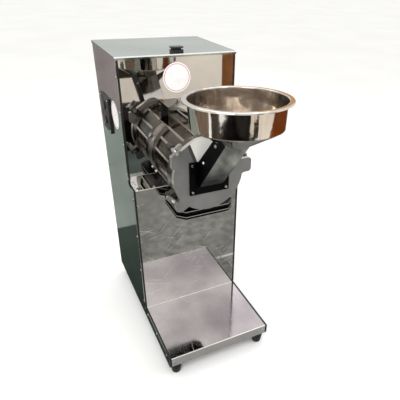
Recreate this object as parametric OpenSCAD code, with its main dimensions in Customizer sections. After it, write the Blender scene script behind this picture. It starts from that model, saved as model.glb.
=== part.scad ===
// Vertical pulverizer: a stepped stainless cabinet with a motor on a shelf inside, a ribbed grinding
// chamber on its front, a hinged door that carries the feed chute and hopper, and an outlet over a tray.
// Millimetres, +Z up, front towards -Y, origin on the floor under the middle of the whole outline.

/* [Cabinet] */
// Width over the side panels
cab_w = 360; // [340:5:420]
// Height to the top of the lid
cab_h = 930; // [900:5:990]
// Depth of the upper cabinet
upper_depth = 304; // [300:2:330]
// Depth of the lower cabinet, below the ledge
lower_depth = 356; // [340:2:380]
// Depth of the base with the tray
tray_depth = 615; // [560:5:660]
// Height of the ledge and of the motor shelf
ledge_z = 555; // [540:5:580]
// Height of the tray's front lip
lip_h = 35; // [30:1:45]
// Thickness of the stainless sheet
sheet_t = 1.5; // [1:0.1:2]
// Depth of the lid's folded edge
lid_h = 8; // [7:0.5:14]
// Width of the rubber edging between the side and front panels
trim_w = 6; // [3:0.5:9]
// Depth of the panels' folded flanges and of the rubber edging
flange_d = 16; // [12:1:20]
// Height of the rubber feet
foot_h = 45; // [30:1:60]
// Radius of a rubber foot at its top
foot_r = 20; // [16:1:24]

/* [Motor] */
// Height of the shaft above the motor shelf
motor_centre = 90; // [86:1:100]
// Radius over the motor's cooling fins
fin_r = 82; // [78:1:84]
// Length of the finned barrel
barrel_len = 150; // [130:5:156]
// Radius of the motor shaft
shaft_r = 12; // [10:0.5:14]

/* [Grinding chamber] */
// Radius over the chamber's ribs
chamber_r = 104; // [100:1:110]
// Thickness of the chamber's wall at a rib
chamber_wall = 16; // [14:0.5:20]
// Length of the plain rear collar
collar_len = 41; // [36:1:50]
// Length of the ribbed pockets
pocket_len = 115; // [95:1:130]
// Length of the plain front rim
rim_len = 40; // [34:1:50]
// Number of ribs round the chamber
rib_count = 18; // [12:1:24]
// Width of a rib
rib_w = 7; // [4:0.5:10]
// Depth of the pockets between the ribs
pocket_d = 6; // [3:0.5:8]
// Gap between the beaters and the chamber's bore
beater_gap = 10; // [9:0.5:16]
// Number of beaters
beater_count = 6; // [4:1:8]

/* [Door] */
// Lap of the round door over the chamber's rim
door_lap = 1; // [0.5:0.5:6]
// Thickness of the door
door_t = 15; // [10:1:20]
// Distance of the hinge pin outside the chamber's rim
hinge_out = 18; // [16:1:26]
// Height of the hinge above the chamber's axis
hinge_rise = 12; // [0:1:20]
// Width of the inlet plate
plate_w = 120; // [110:1:140]

/* [Hopper and chute] */
// Radius of the hopper's rim
rim_r = 126; // [120:1:140]
// Radius of the hopper's wall under the rim
hopper_r = 114; // [108:1:118]
// Height of the hopper's rim above the floor
hopper_z = 900; // [880:1:920]
// Distance of the hopper's axis from the back of the cabinet
hopper_reach = 667; // [655:1:690]
// Lean of the hopper towards the cabinet, in degrees
hopper_lean = 2; // [0:0.5:3]
// Height of the hopper's upright wall
hopper_wall = 60; // [50:1:70]
// Depth of the dished bottom below the wall
hopper_dish = 48; // [42:1:54]
// Width of the chute
chute_w = 72; // [60:1:78]
// Length of the chute's mouth in the hopper
mouth_len = 54; // [46:1:60]
// Thickness of the hopper and chute sheet
bowl_t = 1.5; // [1:0.1:2.5]

/* [Outlet] */
// Width inside the outlet
outlet_w = 118; // [100:1:130]
// Length inside the outlet
outlet_len = 106; // [90:1:110]
// Height of the outlet collar
outlet_h = 26; // [20:1:34]
// Width over the outlet collar
outlet_over_w = 180; // [160:1:200]
// Length over the outlet collar
outlet_over_len = 144; // [134:1:150]

/* [Switch] */
// Height of the switch box above the floor
switch_z = 728; // [680:1:760]
// Distance of the switch from the back of the cabinet
switch_y = 110; // [100:1:130]
// Width of the switch box
switch_w = 105; // [96:1:120]
// Height of the switch box
switch_h = 110; // [104:1:130]
// Travel of a push button
button_travel = 3; // [2:0.5:3.5]

/* [Hidden] */
$fn = 64;

// Clearances: pieces that turn or slide, pieces that only drop in, shafts in their bores, and cut overshoot
run_gap = 0.4;
fit_gap = 0.15;
shaft_gap = 0.05;
cut = 1;

// Main planes, from the cabinet's back to the front of the door
gland_reach = 16;
back_y = (hopper_reach + rim_r - gland_reach) / 2;
upper_y = back_y - upper_depth;
lower_y = back_y - lower_depth;
tray_y = back_y - tray_depth;
axis_z = ledge_z + motor_centre;
tray_z = foot_h + lip_h;
half_w = cab_w / 2;
panel_hw = half_w - sheet_t - trim_w;
leaf_t = 1.4;
top_z = cab_h - sheet_t - leaf_t - run_gap;
collar_y = upper_y - collar_len;
pocket_y = collar_y - pocket_len;
rim_y = pocket_y - rim_len;
door_back = rim_y - run_gap;
door_y = door_back - door_t;
door_r = chamber_r + door_lap;
hinge_x = chamber_r + hinge_out;
chamber_bore = chamber_r - chamber_wall;
beater_r = chamber_bore - beater_gap;

// Sheet metal details
louvre_w = 96;
louvre_count = 7;
louvre_pitch = 26;
louvre_slot = 9;
louvre_d = 6;
louvre_x = 62;
rivet_r = 4;
rivet_h = 1.6;
rivet_edge_r = 3.2;
rivet_edge_h = 1.1;
rivet_flat_r = 1.6;
rivet_rows = 4;
rivet_end = 30;
rivet_top = 50;
base_rivets = 3;
frame_s = 25;
frame_t = 3;
foot_round = 4;
foot_taper = 5;
foot_inset = 20;
lid_gap = 0.5;
lid_hw = half_w + lid_gap + sheet_t;
lid_front = upper_y - lid_gap - sheet_t;
handle_w = 38;
handle_d = 24;
handle_base_h = 9;
handle_groove_h = 5;
handle_top_h = 3;
handle_side_in = 4;
handle_front_in = 9;
handle_round = 7;
handle_inset = 17;
handle_screw_r = 2;
handle_screw_in = 9;
handle_screw_x = handle_w / 2 - handle_screw_in;
handle_screw_up = 6;
hinge_pos_x = 110;
knuckle_r = 4.5;
knuckle_len = 16;
lid_pin_r = 2;
lid_axis_y = back_y + knuckle_r + run_gap;
lid_axis_z = cab_h - knuckle_r;
leaf_drop = 32;
strap_len = 22;

// Motor details
shelf_t = 4;
shelf_front = upper_y + flange_d + cut;
shelf_back = back_y - sheet_t - flange_d;
motor_gap = 34;
shield_t = 20;
rear_shield_t = 14;
cowl_len = 58;
cowl_t = 1.5;
fin_h = 8;
fin_t = 3;
fin_step = 12;
fin_low = -30;
fin_root = 2;
fin_set = 2;
barrel_r = fin_r - fin_h;
barrel_wall = 8;
stator_bore = 40;
stator_len = 96;
air_gap = 0.6;
bearing_r = 26;
bearing_w = 15;
motor_front = upper_y + motor_gap;
barrel_front = motor_front + shield_t;
barrel_back = barrel_front + barrel_len;
cowl_front = barrel_back + rear_shield_t;
cowl_back = cowl_front + cowl_len;
foot_pad_w = 140;
foot_pad_h = 10;
foot_pad_len = 110;
foot_hole_x = 62;
foot_hole_y = 45;
web_hw = 40;
barrel_mid = (barrel_front + barrel_back) / 2;
bolt_r = 4;
bolt_head_r = 7.5;
bolt_head_h = 5.5;
fan_r = 68;
fan_blades = 8;
fan_w = 24;
fan_hub_r = 22;
fan_blade_t = 2.5;
fan_gap = 8;
fan_front = cowl_front + fan_gap;
cowl_slot = 8;
cowl_slots = 3;
cowl_slot_turn = 20;
shaft_end = 6;
bolt_end = 6;
box_w = 70;
box_len = 84;
box_h = 38;
box_round = 10;
cap_r = 23;
cap_h = 105;
cap_side = 52;
cap_x = half_w - cap_side;
cap_round = 3;
cap_tag_w = 6;
cap_tag_t = 2;
cap_tag_h = 10;

// Chamber details
plate_t = 10;
plate_side = 26;
plate_hw = chamber_r + plate_side;
plate_rise = 31;
plate_top = axis_z + chamber_r + plate_rise;
wall_t = 12;
spigot_gap = 2;
spigot_len = collar_len - wall_t - spigot_gap;
spigot_r = 84;
spigot_wall = 16;
seal_r = 20;
pocket_w = 2 * PI * chamber_r / rib_count - rib_w;
ear_r = 8;
ear_gap = run_gap;
hinge_y = rim_y + ear_r;
hinge_z = axis_z + hinge_rise;
barrel_half = 12;
ear_len = 14;
hinge_pin_r = 4;
liner_in = 4;
inner_front = rim_y + liner_in;
inner_back = collar_y - liner_in;
liner_r = chamber_bore - fit_gap;
liner_t = 6.5;
liner_teeth = 26;
liner_gap = 2;
tooth_d = 3;
tooth_w = 5;
sieve_t = 1.4;
sieve_arc = 138;
sieve_hole_r = 3.2;
sieve_rows = 7;
sieve_cols = 15;
sieve_margin = 22;
hub_r = 26;
hub_len = 50;
disc_r = 66;
disc_t = 8;
hub_gap = 6;
hub_back = collar_y - hub_gap;
disc_in = 22;
disc_back = hub_back - disc_in;
beater_w = 10;
beater_in = 46;
beater_len = 62;
nut_r = 20;
nut_h = 16;
washer_r = 23;
washer_t = 3;
hood_hw = 54;
hood_rise = 47;
hood_top = axis_z + chamber_r + hood_rise;
hood_t = 2;
flange_t = 8;
joint_w = 2;
joint_d = 1.5;
bolt_ring = 6;
bolt_turn = 30;

// Outlet details
outlet_in = 28;
outlet_back = collar_y - outlet_in;
outlet_front = outlet_back - outlet_len;
throat_t = 3;
door_clear = 2;
outlet_top = axis_z - door_r - door_clear;
outlet_shift = 8;
outlet_mid = (outlet_back + outlet_front) / 2 - outlet_shift;
corner_cut = 22;
groove_d = 7;

// Clamp studs beside the door: how far outside the chamber's rim, and at which angle from the right
function at_rim(r, place) = (r + place[1]) * [cos(place[0]), sin(place[0])];
stud_r = 4;
boss_r = 10;
boss_len = 25;
boss_set = 1;
boss_front = rim_y + boss_set;
boss_back = boss_front + boss_len;
arm_root = 4;
arm_set = 1;
top_stud = at_rim(chamber_r, [138.5, 28]);
low_stud = at_rim(chamber_r, [206.8, 19]);

// Door details: outlines of its two clamp lugs, as angles and distances outside the door's edge,
// then its hinge lug, knuckle, pin and gasket
top_lug = [[161.6, -41.8], [160.6, 9.5], [146.7, 24.2], [131.7, 10.8], [118.8, 9.1],
    [107.2, 10.1], [98.1, 8.1], [88.9, -1], [88.1, -45]];
low_lug = [[212, -1.2], [216.2, 20.2], [223.8, 30.8], [227.4, 28.1], [230.2, 20], [234.5, -1.8], [230.2, -27]];
lug_out = 11;
lug_x = hinge_x + lug_out;
lug_below = 20;
lug_lo = hinge_rise - lug_below;
lug_above = 23;
lug_hi = hinge_rise + lug_above;
lug_fillet = 26;
lug_round = 9;
fillet_out = 12;
fillet_x = door_r + fillet_out;
fillet_turn = 170;
lug_root = 14;
knuckle_in = 1;
door_knuckle_r = ear_r - knuckle_in;
pin_head_r = 6;
pin_head_h = 3;
gasket_in = 3;
gasket_t = 2;

// Clamp details
spacer_r = 6.5;
dog_len = 32;
dog_hw = 7;
dog_t = 5;
wing_span = 13;
wing_t = 2.5;
nut_len = 9;
wing_h = 13;
wing_in = 5;
wing_r = 5;
wing_low = -30;
nut_hub_r = 7;
nut_tip_r = 5.5;
top_dog_turn = 45;
low_dog_turn = 135;
top_nut_turn = 20;
low_nut_turn = 90;
stud_end = 6;
spacer_front = door_y - run_gap;
dog_front = spacer_front - dog_t;
nut_back = dog_front - run_gap;
stud_front = nut_back - nut_len - stud_end;

// Inlet plate, chute and hopper details
plate_d = 4;
plate_below = 50;
plate_lo = axis_z - plate_below;
plate_above = 48;
plate_hi = axis_z + plate_above;
inlet_below = 20;
inlet_lo = axis_z - inlet_below;
inlet_above = 45;
inlet_hi = axis_z + inlet_above;
plate_y = door_y - plate_d;
screw_inset = 9;
screw_r = 4.5;
screw_top_r = 3.2;
screw_h = 3;
toe = 12;
chute_screw_r = 2;
chute_screw_in = 22;
chute_screw_up = 16;
chute_screw_down = 13;
hopper_y = back_y - hopper_reach;
dish_r = 30;
corner_r = 4;
hopper_taper = 4;
hopper_base_r = hopper_r - hopper_taper;
hopper_depth = hopper_wall + hopper_dish;
mouth_z = hopper_z - hopper_depth;
mouth_offset = 18;
mouth_back = hopper_y + mouth_offset + mouth_len / 2;
mouth_front = mouth_back - mouth_len;
mouth_rise = 34;
hi_slope = (mouth_back - plate_y) / (mouth_z - inlet_hi);
rim_t = 3;
rim_drop = 4;
lip_r = 3;
feed_hw = chute_w / 2 - bowl_t;
foot_flange = 8;
foot_flange_t = 2;

// Switch details
face_t = 6;
body_hw = 42;
body_hh = 44;
body_d = 36;
button_r = 12.4;
button_rest = 1;
button_proud = button_travel + button_rest;
button_flange_r = 15.5;
button_flange_t = 3;
button_pitch = 48;
pocket_spare = 8;
pocket_depth = button_flange_t + button_travel + pocket_spare;
box_screw_in = 7;
box_screw_r = 3.5;
box_screw_top_r = 2.1;
box_screw_h = 1.6;
sw_y = back_y - switch_y;
gland_x = 110;
gland_z = 130;
gland_r = 8;
gland_hex_r = 12;
gland_bore = 4.5;
gland_nut_t = 5;
gland_cap_r = 10;
gland_tip_r = 7;

// Round bar along Y between two planes
module bar_y(r, y_back, y_front, x = 0, z = axis_z) {
    translate([x, y_back, z]) rotate([90, 0, 0]) cylinder(r = r, h = y_back - y_front);
}

// Ring along Y between two planes
module ring_y(r_out, r_in, y_back, y_front, x = 0, z = axis_z) {
    difference() {
        bar_y(r_out, y_back, y_front, x, z);
        bar_y(r_in, y_back + cut, y_front - cut, x, z);
    }
}

// Outline drawn in X and Z, extruded from y_back towards the front
module plate_xz(y_back, t) {
    translate([0, y_back, 0]) rotate([90, 0, 0]) linear_extrude(t) children();
}

// Outline drawn in Y and Z, extruded from x0 to the right
module plate_yz(x0, t) {
    translate([x0, 0, 0]) rotate([90, 0, 90]) linear_extrude(t) children();
}

// Turns children about the chamber's axis, so that +X points at an angle from the right, anticlockwise
module polar(a) {
    translate([0, 0, axis_z]) rotate([0, -a, 0]) children();
}

// Box between two corners
module block(lo, hi) {
    translate(lo) cube(hi - lo);
}

// Points on an arc, from angle a0 to a1
function arc(c, r, a0, a1, n = 6) =
    [for (i = [0 : n]) let (a = a0 + (a1 - a0) * i / n) c + r * [cos(a), sin(a)]];

// Cabinet

// Stepped outline of a side panel
module side_outline() {
    polygon([
        [back_y, foot_h], [back_y, top_z], [upper_y, top_z], [upper_y, ledge_z], [lower_y, ledge_z],
        [lower_y, tray_z], [tray_y, tray_z], [tray_y, foot_h]
    ]);
}

module left_side_panel() {
    color("silver") difference() {
        plate_yz(-half_w, sheet_t) side_outline();
        block([-half_w - cut, sw_y - body_hw - fit_gap, switch_z - body_hh - fit_gap],
              [-half_w + sheet_t + cut, sw_y + body_hw + fit_gap, switch_z + body_hh + fit_gap]);
    }
}

module right_side_panel() {
    color("silver") plate_yz(half_w - sheet_t, sheet_t) side_outline();
}

// Hood of one louvre, a sloped strip with its foot on the panel above the slot
module louvre(x, z) {
    plate_yz(x - louvre_w / 2, louvre_w) polygon([
        [back_y - sheet_t, z + louvre_slot], [back_y, z + louvre_slot], [back_y + louvre_d, z],
        [back_y + louvre_d, z - sheet_t], [back_y + louvre_d - sheet_t, z - sheet_t],
        [back_y - sheet_t, z + louvre_slot - sheet_t]
    ]);
}

function louvre_z(i) = axis_z + (i - (louvre_count - 1) / 2) * louvre_pitch;

module back_panel() {
    inner_hw = half_w - sheet_t;
    color("silver") union() {
        difference() {
            block([-inner_hw, back_y - flange_d, foot_h], [inner_hw, back_y, top_z]);
            block([-inner_hw + sheet_t, back_y - flange_d - cut, foot_h - cut],
                  [inner_hw - sheet_t, back_y - sheet_t, top_z + cut]);
            for (i = [0 : louvre_count - 1], x = [-louvre_x, louvre_x])
                block([x - louvre_w / 2, back_y - sheet_t - cut, louvre_z(i)],
                      [x + louvre_w / 2, back_y + cut, louvre_z(i) + louvre_slot]);
            bar_y(gland_r + fit_gap, back_y + cut, back_y - sheet_t - cut, gland_x, gland_z);
        }
        for (i = [0 : louvre_count - 1], x = [-louvre_x, louvre_x])
            louvre(x, louvre_z(i));
    }
}

module upper_front_panel() {
    color("silver") difference() {
        block([-panel_hw, upper_y, ledge_z], [panel_hw, upper_y + flange_d, top_z]);
        block([-panel_hw + sheet_t, upper_y + sheet_t, ledge_z - cut],
              [panel_hw - sheet_t, upper_y + flange_d + cut, top_z + cut]);
        bar_y(spigot_r + run_gap, upper_y + sheet_t + cut, upper_y - cut);
    }
}

// Front sheet with the ledge folded from its top, hollowed where the chamber dips below the ledge
module lower_front_panel() {
    color("silver") difference() {
        union() {
            difference() {
                block([-panel_hw, lower_y, tray_z], [panel_hw, lower_y + flange_d, ledge_z]);
                block([-panel_hw + sheet_t, lower_y + sheet_t, tray_z - cut],
                      [panel_hw - sheet_t, lower_y + flange_d + cut, ledge_z - sheet_t]);
            }
            block([-panel_hw, lower_y, ledge_z - sheet_t], [panel_hw, upper_y + flange_d, ledge_z]);
        }
        bar_y(chamber_r + run_gap, upper_y, lower_y - cut);
    }
}

module base_tray() {
    tray_back = lower_y + flange_d;
    color("silver") difference() {
        block([-panel_hw, tray_y, foot_h], [panel_hw, tray_back, tray_z]);
        block([-panel_hw + sheet_t, tray_y + sheet_t, foot_h - cut],
              [panel_hw - sheet_t, tray_back + cut, tray_z - sheet_t]);
        block([-panel_hw - cut, tray_y + flange_d, foot_h - cut],
              [panel_hw + cut, tray_back + cut, tray_z - flange_d]);
    }
}

module base_frame() {
    hw = panel_hw - sheet_t;
    y0 = tray_y + sheet_t;
    y1 = back_y - sheet_t;
    color("dimgray") difference() {
        block([-hw, y0, foot_h], [hw, y1, foot_h + frame_s]);
        block([-hw + frame_t, y0 + frame_t, foot_h + frame_t],
              [hw - frame_t, y1 - frame_t, foot_h + frame_s + cut]);
        block([-hw + frame_s, y0 + frame_s, foot_h - cut], [hw - frame_s, y1 - frame_s, foot_h + frame_s]);
    }
}

module rubber_feet() {
    x = panel_hw - foot_inset;
    tip_r = foot_r - foot_taper;
    color("black")
        for (sx = [-1, 1], y = [tray_y + foot_inset, back_y - foot_inset])
            translate([sx * x, y, 0]) rotate_extrude() polygon(concat(
                [[0, 0]],
                arc([tip_r - foot_round, foot_round], foot_round, -90, 0),
                [[foot_r, foot_h - 2 * foot_round], [foot_r, foot_h], [0, foot_h]]
            ));
}

module edge_trim() {
    color("black")
        for (x = [-half_w + sheet_t, panel_hw])
            plate_yz(x, trim_w) polygon([
                [upper_y, top_z], [upper_y, ledge_z], [lower_y, ledge_z], [lower_y, tray_z], [tray_y, tray_z],
                [tray_y, foot_h], [tray_y + flange_d, foot_h], [tray_y + flange_d, tray_z - flange_d],
                [lower_y + flange_d, tray_z - flange_d], [lower_y + flange_d, ledge_z - flange_d],
                [upper_y + flange_d, ledge_z - flange_d], [upper_y + flange_d, top_z]
            ]);
}

// Places of n rivets along a row, evenly from lo to hi
function spread(lo, hi, n) = [for (i = [0 : n - 1]) lo + i * (hi - lo) / (n - 1)];

// One dome-headed rivet standing on a face, along +Z
module rivet() {
    rotate_extrude() polygon([
        [0, 0], [rivet_r, 0], [rivet_edge_r, rivet_edge_h], [rivet_flat_r, rivet_h], [0, rivet_h]
    ]);
}

module cabinet_rivets() {
    in = flange_d / 2;
    upper_rows = spread(ledge_z + rivet_end, top_z - rivet_top, rivet_rows);
    lower_rows = spread(tray_z + rivet_end, ledge_z - rivet_end, rivet_rows);
    base_rows = spread(tray_y + rivet_end, lower_y - rivet_end, base_rivets);
    color("gainsboro") {
        for (s = [-1, 1]) {
            for (z = upper_rows)
                translate([s * half_w, upper_y + in, z]) rotate([0, s * 90, 0]) rivet();
            for (z = lower_rows)
                translate([s * half_w, lower_y + in, z]) rotate([0, s * 90, 0]) rivet();
            for (y = base_rows)
                translate([s * half_w, y, tray_z - in]) rotate([0, s * 90, 0]) rivet();
            for (y = [lower_y + in, upper_y - in])
                translate([s * (panel_hw - in), y, ledge_z]) rivet();
            translate([s * (panel_hw - in), tray_y, foot_h + lip_h / 2]) rotate([90, 0, 0]) rivet();
        }
    }
}

// Lid

module lid() {
    color("silver") difference() {
        block([-lid_hw, lid_front, cab_h - lid_h], [lid_hw, back_y, cab_h]);
        block([-lid_hw + sheet_t, lid_front + sheet_t, cab_h - lid_h - cut],
              [lid_hw - sheet_t, back_y + cut, cab_h - sheet_t]);
        for (s = [-1, 1])
            translate([s * handle_screw_x, upper_y + handle_inset, cab_h - sheet_t - cut])
                cylinder(r = handle_screw_r + fit_gap, h = sheet_t + 2 * cut);
    }
}

// Upright block on the lid with rounded corners, between two heights and set in from the handle's outline
module handle_block(z, h, side_in, front_in) {
    hw = handle_w / 2 - side_in;
    hd = handle_d / 2;
    near = -hd + front_in;
    translate([0, upper_y + handle_inset, cab_h + z]) linear_extrude(h) polygon(concat(
        arc([hw - handle_round, near + handle_round], handle_round, -90, 0),
        arc([hw - handle_round, hd - handle_round], handle_round, 0, 90),
        arc([-hw + handle_round, hd - handle_round], handle_round, 90, 180),
        arc([-hw + handle_round, near + handle_round], handle_round, 180, 270)
    ));
}

// Pull handle: a block with a finger groove along its front and ends under a flat top
module lid_handle() {
    groove_top = handle_base_h + handle_groove_h;
    color("black") difference() {
        union() {
            handle_block(0, handle_base_h, 0, 0);
            handle_block(handle_base_h - cut, handle_groove_h + 2 * cut, handle_side_in, handle_front_in);
            handle_block(groove_top, handle_top_h, 0, 0);
        }
        for (s = [-1, 1])
            translate([s * handle_screw_x, upper_y + handle_inset, cab_h - cut])
                cylinder(r = handle_screw_r + shaft_gap, h = handle_screw_up + cut);
    }
}

module lid_handle_screws() {
    head_h = 2;
    color("gainsboro")
        for (s = [-1, 1])
            translate([s * handle_screw_x, upper_y + handle_inset, cab_h - sheet_t - head_h]) {
                cylinder(r = 2 * handle_screw_r, h = head_h);
                cylinder(r = handle_screw_r, h = head_h + sheet_t + handle_screw_up - cut);
            }
}

// One knuckle of a lid hinge, centred on x
module knuckle(x, len) {
    translate([x - len / 2, lid_axis_y, lid_axis_z]) rotate([0, 90, 0]) difference() {
        cylinder(r = knuckle_r, h = len);
        translate([0, 0, -cut]) cylinder(r = lid_pin_r + shaft_gap, h = len + 2 * cut);
    }
}

// Leaf screwed to the back panel, with the two outer knuckles
module lid_hinge_leaves() {
    color("gray")
        for (x = [-hinge_pos_x, hinge_pos_x]) union() {
            block([x - knuckle_len * 1.5, back_y, lid_axis_z - leaf_drop],
                  [x + knuckle_len * 1.5, back_y + leaf_t, lid_axis_z - knuckle_r]);
            for (s = [-1, 1]) {
                knuckle(x + s * knuckle_len, knuckle_len);
                block([x + s * knuckle_len - knuckle_len / 2, back_y, lid_axis_z - knuckle_r - cut],
                      [x + s * knuckle_len + knuckle_len / 2, lid_axis_y - lid_pin_r - cut / 2, lid_axis_z]);
            }
        }
}

// Strap under the lid's sheet, with the middle knuckle
module lid_hinge_straps() {
    w = knuckle_len - 2 * run_gap;
    z0 = cab_h - sheet_t - leaf_t;
    color("gray")
        for (x = [-hinge_pos_x, hinge_pos_x]) union() {
            knuckle(x, w);
            block([x - w / 2, back_y - strap_len, z0], [x + w / 2, lid_axis_y - lid_pin_r, cab_h - sheet_t]);
        }
}

module lid_hinge_pins() {
    color("gainsboro")
        for (x = [-hinge_pos_x, hinge_pos_x])
            translate([x - knuckle_len * 1.5, lid_axis_y, lid_axis_z]) rotate([0, 90, 0])
                cylinder(r = lid_pin_r, h = knuckle_len * 3);
}

// Motor on its shelf

module motor_shelf() {
    hw = half_w - sheet_t;
    color("dimgray") difference() {
        block([-hw, shelf_front, ledge_z - shelf_t], [hw, shelf_back, ledge_z]);
        motor_bolt_holes(ledge_z - shelf_t - cut, ledge_z + cut);
    }
}

module motor_bolt_holes(z0, z1) {
    for (sx = [-1, 1], sy = [-1, 1])
        translate([sx * foot_hole_x, barrel_mid + sy * foot_hole_y, z0])
            cylinder(r = bolt_r + fit_gap, h = z1 - z0);
}

module shelf_rails() {
    x0 = half_w - sheet_t;
    z1 = ledge_z - shelf_t;
    color("dimgray")
        for (s = [0, 1]) mirror([s, 0, 0])
            plate_xz(shelf_back, shelf_back - shelf_front) polygon([
                [x0, z1], [x0 - frame_s, z1], [x0 - frame_s, z1 - frame_t], [x0 - frame_t, z1 - frame_t],
                [x0 - frame_t, z1 - frame_s], [x0, z1 - frame_s]
            ]);
}

module motor_barrel() {
    color("darkslategray") difference() {
        union() {
            bar_y(barrel_r, barrel_back, barrel_front);
            for (a = [fin_low : fin_step : 180 - fin_low])
                polar(a) block([barrel_r - fin_root, barrel_front + fin_set, -fin_t / 2],
                               [fin_r, barrel_back - fin_set, fin_t / 2]);
            block([-web_hw, barrel_mid - foot_pad_len / 2, ledge_z],
                  [web_hw, barrel_mid + foot_pad_len / 2, axis_z - barrel_r + barrel_wall / 2]);
            block([-foot_pad_w / 2, barrel_mid - foot_pad_len / 2, ledge_z],
                  [foot_pad_w / 2, barrel_mid + foot_pad_len / 2, ledge_z + foot_pad_h]);
        }
        bar_y(barrel_r - barrel_wall, barrel_back + cut, barrel_front - cut);
        motor_bolt_holes(ledge_z - cut, ledge_z + foot_pad_h + cut);
    }
}

module motor_front_shield() {
    color("darkslategray") difference() {
        union() {
            bar_y(barrel_r, barrel_front, motor_front + shield_t / 2);
            bar_y(bearing_r + fin_h, barrel_front, motor_front);
        }
        bar_y(bearing_r + fit_gap, barrel_front + cut, barrel_front - bearing_w);
        bar_y(shaft_r + run_gap, barrel_front, motor_front - cut);
    }
}

module motor_rear_shield() {
    color("darkslategray") difference() {
        bar_y(barrel_r, cowl_front, barrel_back);
        bar_y(bearing_r + fit_gap, barrel_back + rear_shield_t - fin_t, barrel_back - cut);
        bar_y(shaft_r + run_gap, cowl_front + cut, barrel_back - cut);
    }
}

module fan_cowl() {
    color("dimgray") difference() {
        bar_y(fin_r, cowl_back, barrel_back - fin_set);
        bar_y(fin_r - cowl_t, cowl_back - cowl_t, barrel_back - fin_set - cut);
        for (i = [-cowl_slots : cowl_slots]) {
            slot_hw = fan_r * cos(i * cowl_slot_turn);
            slot_z = axis_z + 2 * i * cowl_slot;
            block([-slot_hw, cowl_back - cowl_t - cut, slot_z - cowl_slot / 2],
                  [slot_hw, cowl_back + cut, slot_z + cowl_slot / 2]);
        }
    }
}

module cooling_fan() {
    color("gray") difference() {
        union() {
            bar_y(fan_hub_r, fan_front + fan_w, fan_front);
            bar_y(fan_r - fin_h, fan_front + fan_blade_t, fan_front);
            for (i = [0 : fan_blades - 1])
                polar(i * 360 / fan_blades)
                    block([shaft_r + fan_blade_t, fan_front, -fan_blade_t / 2],
                          [fan_r, fan_front + fan_w, fan_blade_t / 2]);
        }
        bar_y(shaft_r + shaft_gap, fan_front + fan_w + cut, fan_front - cut);
    }
}

module stator_core() {
    color("sienna") ring_y(barrel_r - barrel_wall - fit_gap, stator_bore,
                           barrel_mid + stator_len / 2, barrel_mid - stator_len / 2);
}

module rotor_core() {
    color("gray") ring_y(stator_bore - air_gap, shaft_r + shaft_gap,
                         barrel_mid + stator_len / 2, barrel_mid - stator_len / 2);
}

module motor_bearings() {
    rear = barrel_back + rear_shield_t - fin_t - fit_gap;
    color("gainsboro") {
        ring_y(bearing_r, shaft_r + shaft_gap, barrel_front, barrel_front - bearing_w + fit_gap);
        ring_y(bearing_r, shaft_r + shaft_gap, rear, rear - bearing_w);
    }
}

module motor_shaft() {
    color("lightgray") bar_y(shaft_r, fan_front + fan_w, hub_back - hub_len - washer_t - nut_h - shaft_end);
}

module terminal_box() {
    hw = box_w / 2;
    color("dimgray")
        translate([0, barrel_mid + box_len / 2, axis_z + fin_r]) rotate([90, 0, 0]) linear_extrude(box_len)
            polygon(concat(
                [[-hw, 0], [hw, 0]],
                arc([hw - box_round, box_h - box_round], box_round, 0, 90),
                arc([-hw + box_round, box_h - box_round], box_round, 90, 180)
            ));
}

module run_capacitor() {
    color("whitesmoke") translate([cap_x, barrel_mid, ledge_z]) {
        rotate_extrude() polygon(concat(
            [[0, 0], [cap_r, 0]],
            arc([cap_r - cap_round, cap_h - cap_round], cap_round, 0, 90),
            [[0, cap_h]]
        ));
        for (s = [-1, 1])
            translate([s * cap_r / 2, 0, cap_h + (cap_tag_h - cut) / 2])
                cube([cap_tag_w, cap_tag_t, cap_tag_h + cut], center = true);
    }
}

// Hexagon-headed bolt: head above z = 0, shank below it
module hex_bolt(shank) {
    cylinder(r = bolt_head_r, h = bolt_head_h, $fn = 6);
    translate([0, 0, -shank]) cylinder(r = bolt_r, h = shank + cut);
}

module motor_bolts() {
    color("gainsboro")
        for (sx = [-1, 1], sy = [-1, 1])
            translate([sx * foot_hole_x, barrel_mid + sy * foot_hole_y, ledge_z + foot_pad_h])
                hex_bolt(foot_pad_h + shelf_t + bolt_end);
}

// Grinding chamber

// Radial bolt holes or bolts, evenly round the rear collar in front of its joint line
module collar_bolts() {
    y = upper_y - flange_t - joint_w - bolt_head_r - run_gap;
    for (i = [0 : bolt_ring - 1])
        polar(bolt_turn + i * 360 / bolt_ring) translate([0, y, 0]) rotate([0, 90, 0]) children();
}

module mounting_plate() {
    plate_back = upper_y + sheet_t + plate_t;
    color("gray") difference() {
        union() {
            block([-plate_hw, upper_y + sheet_t, ledge_z], [plate_hw, plate_back, plate_top]);
            bar_y(spigot_r, plate_back, upper_y - spigot_len);
        }
        bar_y(spigot_r - spigot_wall, plate_back + cut, upper_y - spigot_len - cut);
        collar_bolts() translate([0, 0, spigot_r - spigot_wall - cut])
            cylinder(r = bolt_r + shaft_gap, h = spigot_wall + 2 * cut);
    }
}

// Arm and boss for a clamp stud, standing on the front rim
module stud_boss(p) {
    polar(atan2(p[1], p[0]))
        block([chamber_bore + arm_root, boss_front + arm_set, -boss_r + arm_set],
              [norm(p), boss_back - arm_set, boss_r - arm_set]);
    bar_y(boss_r, boss_back, boss_front, p[0], axis_z + p[1]);
}

// Two ears for the door's hinge pin, above and below the door's knuckle
module hinge_ears() {
    for (z = [hinge_z + barrel_half + ear_gap, hinge_z - barrel_half - ear_gap - ear_len]) {
        block([chamber_bore + arm_root, hinge_y - ear_r + 2 * arm_set, z],
              [hinge_x, hinge_y + ear_r - 2 * arm_set, z + ear_len]);
        translate([hinge_x, hinge_y, z]) cylinder(r = ear_r - run_gap, h = ear_len);
    }
}

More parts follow.
